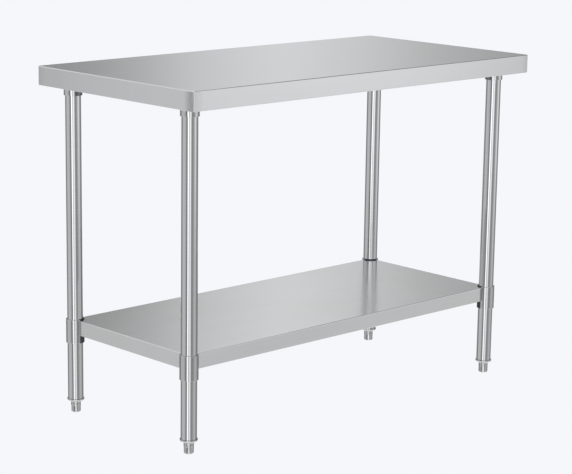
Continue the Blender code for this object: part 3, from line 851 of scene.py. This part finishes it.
def make_weld_studs():
    low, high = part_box("nut_centre_left")
    flats = high.y - low.y
    thickness = high.z - low.z
    corner = flats / 2 / math.cos(HEX_HALF_SIDE)
    hexagon = prism("nut", polygon(6, flats), -thickness / 2, thickness / 2)
    slope = (corner - flats / 2) * math.tan(NUT_CHAMFER)
    cone = turned("nut_cone", (
        (0, -thickness / 2), (flats / 2, -thickness / 2), (corner, -thickness / 2 + slope),
        (corner + MM, -thickness / 2 + slope), (corner + MM, thickness / 2 - slope),
        (corner, thickness / 2 - slope), (flats / 2, thickness / 2), (0, thickness / 2)), SMALL_TURN)
    nut = combined(hexagon, [cone], "INTERSECT")
    bore_radius = WELD_STUD_RADIUS + NUT_CLEARANCE
    flare = bore_radius + NUT_FLARE
    bore = turned("nut_bore", (
        (0, -thickness), (flare + thickness / 2, -thickness), (bore_radius, -thickness / 2 + NUT_FLARE),
        (bore_radius, thickness / 2 - NUT_FLARE), (flare + thickness / 2, thickness),
        (0, thickness)), SMALL_TURN)
    nut = combined(nut, [bore], "DIFFERENCE")
    low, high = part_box("weld_stud_centre_left")
    shaft = threaded("weld_stud", WELD_STUD_RADIUS, low.z, high.z, FINE_PITCH,
                     FINE_THREAD_DEPTH, FINE_CHAMFER, steps=24)
    for spot in STUD_SPOTS:
        x, y = axis_of(f"weld_stud_{spot}")
        low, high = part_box(f"nut_{spot}")
        twist = NUT_TWIST * STUD_SPOTS.index(spot)
        nut_mesh = moved(nut, turn_z(twist), shift(x, y, (low.z + high.z) / 2))
        piece(f"nut_{spot}", nut_mesh, FASTENER, "table_frame")
        stud_mesh = moved(shaft, shift(x, y))
        piece(f"weld_stud_{spot}", stud_mesh, FASTENER, "table_frame")


def make_legs():
    for corner in CORNERS:
        node = f"leg_{corner}"
        low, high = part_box(node)
        x, y = axis_of(node)
        outline = tube_outline(LEG_RADIUS - LEG_WALL, LEG_RADIUS, low.z, high.z, LEG_RIM)
        mesh = moved(turned(node, outline), shift(x, y))
        piece(node, mesh, TUBE_STEEL, "table_frame")


def boss(height, inner_radius):
    """A set screw's boss, lying on local +X with a chamfered rim."""
    reach = LEG_RADIUS + SLEEVE_GAP + BOSS_REACH
    outline = ((0, inner_radius), (BOSS_RADIUS, inner_radius), (BOSS_RADIUS, reach - BOSS_RIM),
               (BOSS_RADIUS - BOSS_RIM, reach), (0, reach))
    return moved(turned("boss", outline, SMALL_TURN), LYING_ALONG_X, shift(z=height))


def screw_hole(height):
    """The hole through a boss, lying on local +X."""
    reach = LEG_RADIUS + SLEEVE_GAP + BOSS_REACH
    outline = ((0, LEG_RADIUS / 2), (SCREW_RADIUS + SCREW_HOLE_GAP, LEG_RADIUS / 2),
               (SCREW_RADIUS + SCREW_HOLE_GAP, reach + MM), (0, reach + MM))
    return moved(turned("screw_hole", outline, SMALL_TURN), LYING_ALONG_X, shift(z=height))


def make_sockets():
    """A plate and a short tube over each leg's end, joined by a weld bead, with a boss for the screw."""
    low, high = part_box("leg_socket_front_left")
    screw_low, screw_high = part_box("socket_screw_front_left")
    screw_height = (screw_low.z + screw_high.z) / 2
    bore = LEG_RADIUS + SLEEVE_GAP
    outer = bore + SLEEVE_WALL
    plate_bottom = high.z - PLATE
    outline = [
        (0.0, high.z - SMALL_GAP),
        (outer, high.z - SMALL_GAP),
        (outer, plate_bottom - WELD_BEAD),
        (outer, low.z + SLEEVE_EDGE + SUPPORT),
        *arc_points((outer - SLEEVE_EDGE, low.z + SLEEVE_EDGE), SLEEVE_EDGE, 0, -90, RIM_STEPS),
        *arc_points((bore + SLEEVE_EDGE, low.z + SLEEVE_EDGE), SLEEVE_EDGE, 270, 180, RIM_STEPS),
        (bore, low.z + SLEEVE_EDGE + SUPPORT),
        (bore, plate_bottom),
        (0.0, plate_bottom),
    ]
    tube = turned("leg_socket", outline)
    plate = rounded_plate("plate", (high.y - low.y) / 2, PLATE_CORNER, plate_bottom, high.z, PLATE_RIM)
    bead = weld_bead(outer, plate_bottom)
    body = combined(tube, [plate, bead, boss(screw_height, bore + SLEEVE_WALL / 2)], "UNION")
    body = combined(body, [screw_hole(screw_height)], "DIFFERENCE")
    for corner in CORNERS:
        x, y = axis_of(f"leg_{corner}")
        facing = 0.0 if x < 0 else math.pi
        mesh = moved(body, turn_z(facing), shift(x, y))
        piece(f"leg_socket_{corner}", mesh, SOCKET_STEEL, "table_frame")


def weld_bead(radius, height):
    """A ring of overlapping weld ripples in the corner between the socket's tube and its plate."""
    bm = bmesh.new()
    rings = []
    for i in range(WELD_RIPPLES * RIPPLE_STEPS):
        angle = 2 * math.pi * i / (WELD_RIPPLES * RIPPLE_STEPS)
        swell = 1.0 + RIPPLE_SWELL * ((i % RIPPLE_STEPS) / (RIPPLE_STEPS - 1) - 0.5)
        size = WELD_BEAD * swell
        section = ((-0.4, 0.4), (-0.4, -1.0), (0.25, -0.85), (0.75, -0.4), (1.0, 0.1), (1.0, 0.4))
        ring = []
        for out, up in section:
            r = radius + out * size
            ring.append(bm.verts.new((r * math.cos(angle), r * math.sin(angle), height + up * size)))
        rings.append(ring)
    rings.append(rings[0])
    join_rings(bm, rings)
    return mesh_from(bm, "weld_bead")


def make_collars():
    """The bright outer sleeve and the dark inner clamp that close round each leg."""
    bore = LEG_RADIUS + SLEEVE_GAP
    outer = bore + SLEEVE_WALL
    split_angle = math.radians(45) + math.asin(SPLIT / outer)
    sleeve_low, sleeve_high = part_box("shelf_collar_front_left")
    clamp_low, clamp_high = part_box("shelf_clamp_front_left")
    screw_low, screw_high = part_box("shelf_screw_front_left")
    screw_height = (screw_low.z + screw_high.z) / 2
    outline = tube_outline(bore, outer, sleeve_low.z, sleeve_high.z, SLEEVE_EDGE)
    sleeve = part_turned("shelf_collar", outline, math.pi, math.pi - split_angle, SLEEVE_STEPS)
    outline = tube_outline(bore, outer, clamp_low.z, clamp_high.z, SLEEVE_EDGE)
    sector = part_turned("shelf_clamp", outline, 0.0, split_angle - SPLIT_GAP / bore, CLAMP_STEPS)
    clamp = combined(sector, [boss(screw_height, bore + SLEEVE_WALL / 2)], "UNION")
    clamp = combined(clamp, [screw_hole(screw_height)], "DIFFERENCE")
    for corner in CORNERS:
        x, y = axis_of(f"leg_{corner}")
        facing = math.atan2(-side_of(y), -side_of(x))
        sleeve_mesh = moved(sleeve, turn_z(facing), shift(x, y))
        clamp_mesh = moved(clamp, turn_z(facing), shift(x, y))
        piece(f"shelf_collar_{corner}", sleeve_mesh, SLEEVE_STEEL, "undershelf")
        piece(f"shelf_clamp_{corner}", clamp_mesh, DARK_CASTING, "undershelf")


def make_set_screws():
    """Threaded set screws with a cup point and a hexagonal socket for the key."""
    low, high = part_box("socket_screw_front_left")
    length = high.x - low.x
    shaft = threaded("set_screw", SCREW_RADIUS, 0.0, length, SCREW_PITCH,
                     SCREW_THREAD_DEPTH, SCREW_CHAMFER, steps=32)
    key = prism("key", polygon(6, HEX_KEY), length - HEX_KEY_DEPTH, length + HEX_KEY_DEPTH)
    flare = HEX_KEY / 2 + KEY_LEAD_IN
    lead_in = turned("lead_in", (
        (0, length - KEY_LEAD_IN), (HEX_KEY / 2 - KEY_LEAD_IN_STEP, length - KEY_LEAD_IN),
        (flare, length + KEY_LEAD_IN_STEP), (0, length + KEY_LEAD_IN_STEP)), SMALL_TURN)
    cup = turned("cup", ((0, -MM), (CUP_MOUTH, -MM), (CUP_FLOOR, MM), (0, MM)), SMALL_TURN)
    screw = combined(shaft, [key, lead_in, cup], "DIFFERENCE", THREAD_ANGLE)
    for corner in CORNERS:
        x, y = axis_of(f"leg_{corner}")
        for kind, facing in (
            ("socket_screw", 0.0 if x < 0 else math.pi),
            ("shelf_screw", math.atan2(-side_of(y), -side_of(x))),
        ):
            node = f"{kind}_{corner}"
            low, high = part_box(node)
            tip = LEG_RADIUS + SMALL_GAP
            place = shift(x, y, (low.z + high.z) / 2)
            mesh = moved(screw, LYING_ALONG_X, shift(x=tip), turn_z(facing), place)
            piece(node, mesh, FASTENER, node)


def make_foot_inserts():
    """The plug in each leg's end: a lip, a domed underside and a hub round the stud."""
    low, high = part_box("foot_insert_front_left")
    leg_low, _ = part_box("leg_front_left")
    lip_radius = (high.x - low.x) / 2
    plug_radius = LEG_RADIUS - LEG_WALL - SMALL_GAP
    lip_top = leg_low.z - SMALL_GAP
    lip_bottom = lip_top - LIP_BAND
    hole = STUD_RADIUS + STUD_GAP
    dome = []
    for i in range(1, DOME_STEPS + 1):
        angle = math.pi / 2 * i / DOME_STEPS
        dome.append((NOSE_RADIUS + (lip_radius - NOSE_RADIUS) * math.cos(angle),
                     lip_bottom - (lip_bottom - low.z) * math.sin(angle)))
    rim = INSERT_RIM
    outline = [
        (LEG_RADIUS - LEG_WALL - PLUG_WALL, high.z),
        (plug_radius - 2 * rim, high.z),
        (plug_radius, high.z - 4 * rim),
        (plug_radius, lip_top),
        *arc_points((lip_radius - rim, lip_top - rim), rim, 90, 0, RIM_STEPS),
        (lip_radius, lip_bottom),
        *dome,
        (hole + rim, low.z),
        (hole, low.z + rim),
        (hole, high.z - rim),
        (hole + rim, high.z),
        (hole + HUB_WALL - rim, high.z),
        (hole + HUB_WALL, high.z - rim),
        (hole + HUB_WALL, lip_top + PLUG_FLOOR),
        (LEG_RADIUS - LEG_WALL - PLUG_WALL, lip_top + PLUG_FLOOR),
    ]
    mesh = turned("foot_insert", outline)
    for corner in CORNERS:
        x, y = axis_of(f"leg_{corner}")
        placed = moved(mesh, shift(x, y))
        piece(f"foot_insert_{corner}", placed, FOOT_STEEL, "table_frame")


def make_feet():
    """Each bullet foot is round above and hexagonal below, on a threaded stud of its own."""
    low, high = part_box("foot_front_left")
    radius = (high.y - low.y) / 2
    hole = STUD_RADIUS + STUD_GAP
    rim = FOOT_RIM
    outline = [
        (0.0, STUD_SEAT),
        (hole, STUD_SEAT),
        (hole, high.z - rim),
        (hole + rim, high.z),
        *arc_points((radius - FOOT_NECK - rim, high.z - rim), rim, 90, 0, RIM_STEPS),
        (radius, high.z - FOOT_SHOULDER),
        (radius, high.z - FOOT_SHOULDER - SUPPORT),
        (radius, low.z + FOOT_ROUND + SUPPORT),
        *arc_points((radius - FOOT_ROUND, low.z + FOOT_ROUND), FOOT_ROUND, 0, -90, FOOT_ROUND_STEPS),
        (0.0, low.z),
    ]
    blank = turned("foot", outline)
    corner_radius = FOOT_FLATS / 2 / math.cos(HEX_HALF_SIDE)
    wide = 2 * radius
    run_out = FOOT_HEX_RUN_OUT * (wide - corner_radius) / (radius - FOOT_FLATS / 2)
    hexagon = turned("foot_hexagon", (
        (0, 2 * high.z), (wide, 2 * high.z), (wide, FOOT_HEX_TOP + run_out),
        (corner_radius, FOOT_HEX_TOP), (corner_radius, -high.z), (0, -high.z)), 6)
    foot = combined(blank, [hexagon], "INTERSECT")
    stud_low, stud_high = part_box("foot_stud_front_left")
    stud = threaded("foot_stud", STUD_RADIUS, stud_low.z, stud_high.z, STUD_PITCH,
                    STUD_THREAD_DEPTH, STUD_CHAMFER, steps=36)
    for corner in CORNERS:
        x, y = axis_of(f"leg_{corner}")
        node = f"foot_{corner}"
        piece(node, moved(foot, shift(x, y)), FOOT_STEEL, node)
        node = f"foot_stud_{corner}"
        piece(node, moved(stud, shift(x, y)), FASTENER, node)


make_worktop()
make_undershelf()
make_channels()
make_weld_studs()
make_legs()
make_sockets()
make_collars()
make_set_screws()
make_foot_inserts()
make_feet()


# ---------------------------------------------------------------- stage, light and camera

PALE = (0.913, 0.930, 0.956)
STAGE_RADIUS = 60.0
STAGE_ROUND = 64
STAGE_ROWS = 32

# The studio round the table, as seen from its middle, is rings of cards one above the other. A ring
# has stops of azimuth, in degrees from +X towards +Y, with their brightness. RINGS says between which
# heights each ring takes over from the one below; a height is the sine of its elevation.
LOW_CARDS = (
    (-180, 0.55), (-175, 0.34), (-160, 0.26), (-155, 1.75), (-143, 1.75), (-139, 0.50), (-135, 0.55),
    (-131, 1.20), (-115, 1.20), (-106, 0.38), (-86, 0.38), (-74, 0.52), (-58, 0.67), (-38, 0.67),
    (-24, 0.42), (-6, 0.30), (14, 0.30), (28, 0.95), (62, 0.95), (78, 0.34), (104, 0.30), (116, 0.44),
    (130, 0.74), (165, 0.72), (180, 0.55),
)
LEVEL_CARDS = (
    (-180, 0.55), (-174, 0.34), (-160, 0.26), (-155, 2.00), (-143, 2.00), (-139, 0.58), (-135, 0.62),
    (-131, 1.40), (-115, 1.35), (-106, 0.40), (-86, 0.40), (-74, 0.55), (-60, 0.84), (-50, 1.10),
    (-42, 1.10), (-32, 0.72), (-22, 0.44), (-6, 0.30), (14, 0.30), (28, 0.95), (62, 0.95),
    (78, 0.34), (104, 0.30), (116, 0.50), (130, 0.76), (165, 0.74), (180, 0.52),
)
FAR_CARDS = (
    (-180, 0.55), (-174, 0.34), (-160, 0.26), (-155, 2.00), (-143, 2.00), (-139, 0.58), (-135, 0.62),
    (-131, 1.40), (-115, 1.35), (-106, 0.72), (-62, 0.92), (-30, 0.92), (-17, 0.30), (20, 0.30), (36, 0.28),
    (39.5, 0.34), (41.5, 0.48), (44, 0.68), (46.5, 0.82), (48.6, 0.66), (51.2, 0.37), (53, 0.16),
    (57, 0.17), (80, 0.40), (106, 0.70), (140, 0.80), (180, 0.55),
)
HIGH_CARDS = (
    (-180, 0.80), (-100, 0.80), (-60, 0.80), (-36, 0.30), (-17, 0.08), (10, 0.25), (46, 1.10),
    (80, 0.85), (106, 0.98), (135, 1.00), (180, 0.80),
)
RINGS = ((-0.24, -0.14, LEVEL_CARDS), (-0.04, 0.06, FAR_CARDS), (0.22, 0.46, HIGH_CARDS))
OVERHEAD = 1.15
OVERHEAD_FROM = 0.72
OVERHEAD_FULL = 0.92
BELOW = 1.20
BELOW_FROM = -0.42
BELOW_FULL = -0.65
CARD_TINT = (1.0, 1.005, 1.015)


def card_ring(tree, spread, cards):
    """The brightness round one ring, as a colour ramp over the azimuth."""
    node = tree.nodes.new("ShaderNodeValToRGB")
    ramp = node.color_ramp
    ramp.interpolation = "EASE"
    while len(ramp.elements) < len(cards):
        ramp.elements.new(0.5)
    for element, (angle, brightness) in zip(ramp.elements, cards):
        element.position = (angle + 180) / 360
        element.color = (*(brightness * c for c in CARD_TINT), 1.0)
    tree.links.new(spread, node.inputs["Fac"])
    return node.outputs["Color"]


def fade(tree, height, start, end, below, above):
    """One colour below the start height turning into another by the end height."""
    share = tree.nodes.new("ShaderNodeMapRange")
    share.interpolation_type = "SMOOTHSTEP"
    share.inputs["From Min"].default_value = start
    share.inputs["From Max"].default_value = end
    tree.links.new(height, share.inputs["Value"])
    mix = tree.nodes.new("ShaderNodeMix")
    mix.data_type = "RGBA"
    tree.links.new(share.outputs[0], mix.inputs["Factor"])
    for socket, value in ((mix.inputs[6], below), (mix.inputs[7], above)):
        if isinstance(value, bpy.types.NodeSocket):
            tree.links.new(value, socket)
        else:
            socket.default_value = (value, value, value, 1.0)
    return mix.outputs[2]


def make_studio():
    """Soft light from all round: rings of cards, bright above, with two bright lamps at the front left."""
    world = bpy.data.worlds.new("studio")
    bpy.context.scene.world = world
    world.use_nodes = True
    tree = world.node_tree
    coords = tree.nodes.new("ShaderNodeTexCoord")
    split = tree.nodes.new("ShaderNodeSeparateXYZ")
    tree.links.new(coords.outputs["Generated"], split.inputs[0])
    azimuth = tree.nodes.new("ShaderNodeMath")
    azimuth.operation = "ARCTAN2"
    tree.links.new(split.outputs["Y"], azimuth.inputs[0])
    tree.links.new(split.outputs["X"], azimuth.inputs[1])
    spread = tree.nodes.new("ShaderNodeMapRange")
    spread.inputs["From Min"].default_value = -math.pi
    spread.inputs["From Max"].default_value = math.pi
    tree.links.new(azimuth.outputs[0], spread.inputs["Value"])
    height = split.outputs["Z"]
    light = card_ring(tree, spread.outputs[0], LOW_CARDS)
    for start, full, cards in RINGS:
        ring = card_ring(tree, spread.outputs[0], cards)
        light = fade(tree, height, start, full, light, ring)
    light = fade(tree, height, OVERHEAD_FROM, OVERHEAD_FULL, light, OVERHEAD)
    light = fade(tree, height, BELOW_FROM, BELOW_FULL, light, BELOW)
    tree.links.new(light, tree.nodes["Background"].inputs["Color"])


def pale_material():
    """The plain pale paper of the floor and the backdrop."""
    material = bpy.data.materials.new("pale_paper")
    material.use_nodes = True
    tree = material.node_tree
    tree.nodes.remove(tree.nodes["Principled BSDF"])
    glow = tree.nodes.new("ShaderNodeEmission")
    glow.inputs["Color"].default_value = (*PALE, 1.0)
    tree.links.new(glow.outputs[0], tree.nodes["Material Output"].inputs["Surface"])
    return material


def make_stage():
    """A round pale floor that turns up into a backdrop far away; the metal reflects the studio instead."""
    bm = bmesh.new()
    bmesh.ops.create_uvsphere(bm, u_segments=STAGE_ROUND, v_segments=STAGE_ROWS, radius=STAGE_RADIUS)
    bmesh.ops.bisect_plane(bm, geom=[*bm.verts, *bm.edges, *bm.faces], plane_co=(0, 0, 0),
                           plane_no=(0, 0, -1), clear_outer=True)
    rim = [e for e in bm.edges if e.is_boundary]
    bmesh.ops.contextual_create(bm, geom=rim)
    mesh = bpy.data.meshes.new("stage")
    bm.to_mesh(mesh)
    bm.free()
    mesh.materials.append(pale_material())
    stage = bpy.data.objects.new("stage", mesh)
    bpy.context.scene.collection.objects.link(stage)
    stage.visible_glossy = False
    stage.visible_diffuse = False
    stage.visible_shadow = False


# The camera stands off the front left corner, a little above the worktop, with a long lens.
CAMERA_PLACE = (-3.4953, -3.6572, 1.5218)
CAMERA_HEADING = 0.7607
CAMERA_PITCH = -0.2120
CAMERA_ROLL = 0.0144
CAMERA_LENS = 120.2
CAMERA_SENSOR = 36.0


def make_camera():
    data = bpy.data.cameras.new("camera")
    data.sensor_fit = "HORIZONTAL"
    data.sensor_width = CAMERA_SENSOR
    data.lens = CAMERA_LENS
    data.clip_end = 4 * STAGE_RADIUS
    camera = bpy.data.objects.new("camera", data)
    bpy.context.scene.collection.objects.link(camera)
    level = Matrix.Rotation(-CAMERA_HEADING, 4, "Z") @ Matrix.Rotation(math.pi / 2 + CAMERA_PITCH, 4, "X")
    camera.matrix_world = shift(*CAMERA_PLACE) @ level @ Matrix.Rotation(CAMERA_ROLL, 4, "Z")
    bpy.context.scene.camera = camera


make_studio()
make_stage()
make_camera()
bpy.context.scene.view_settings.view_transform = "Standard"
